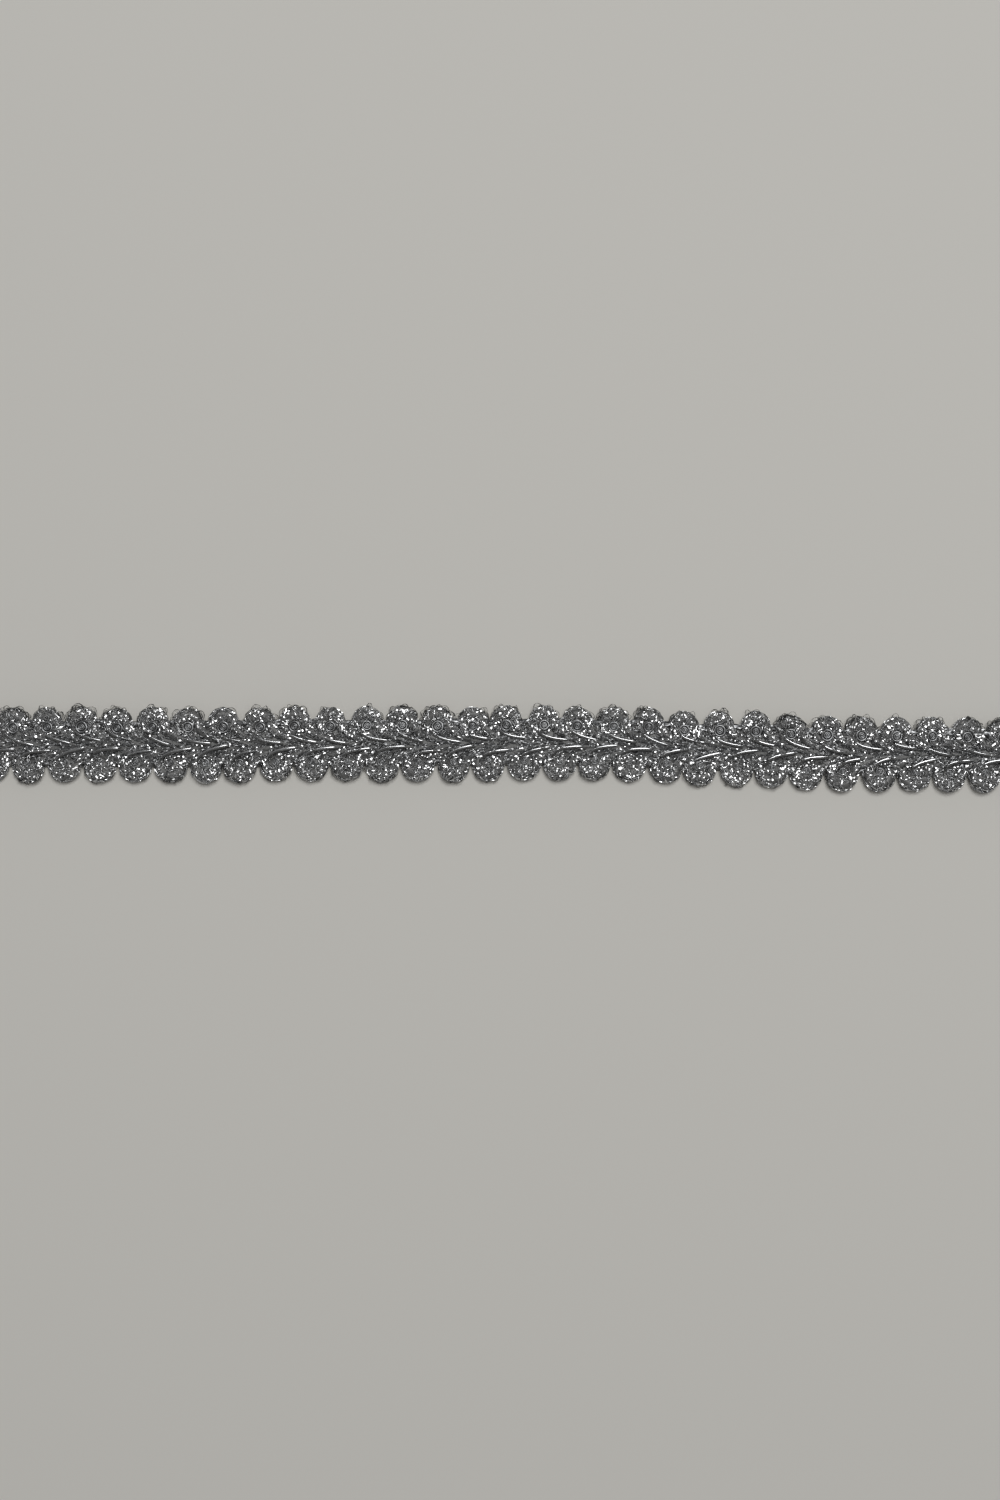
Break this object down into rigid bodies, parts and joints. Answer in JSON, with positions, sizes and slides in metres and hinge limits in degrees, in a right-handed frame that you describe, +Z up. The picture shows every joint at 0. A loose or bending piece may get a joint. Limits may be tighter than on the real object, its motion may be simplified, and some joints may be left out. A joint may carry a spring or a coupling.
{
  "type": "cut length of scalloped metallic gimp braid trim",
  "caption": "Flat silver gimp braid, a narrow edging trim with round scallops along both edges and a wheat-ear plait along its middle, lying flat on its underside.",
  "frame": {"origin": "middle of the flat underside, half way along the length and half way between the outermost scallop tips", "axes": "+X along the band, the way the plait points; +Y across the band towards the upper row of scallops; +Z up from the surface that the band lies on"},
  "size_m": [0.1782, 0.0146, 0.0023],
  "materials": {
    "silver_glitter_yarn": "silver metallised film wound on yarn, glittering"
  },
  "bodies": {
    "root": {"gimp_braid": "silver_glitter_yarn"}
  },
  "joints": []
}
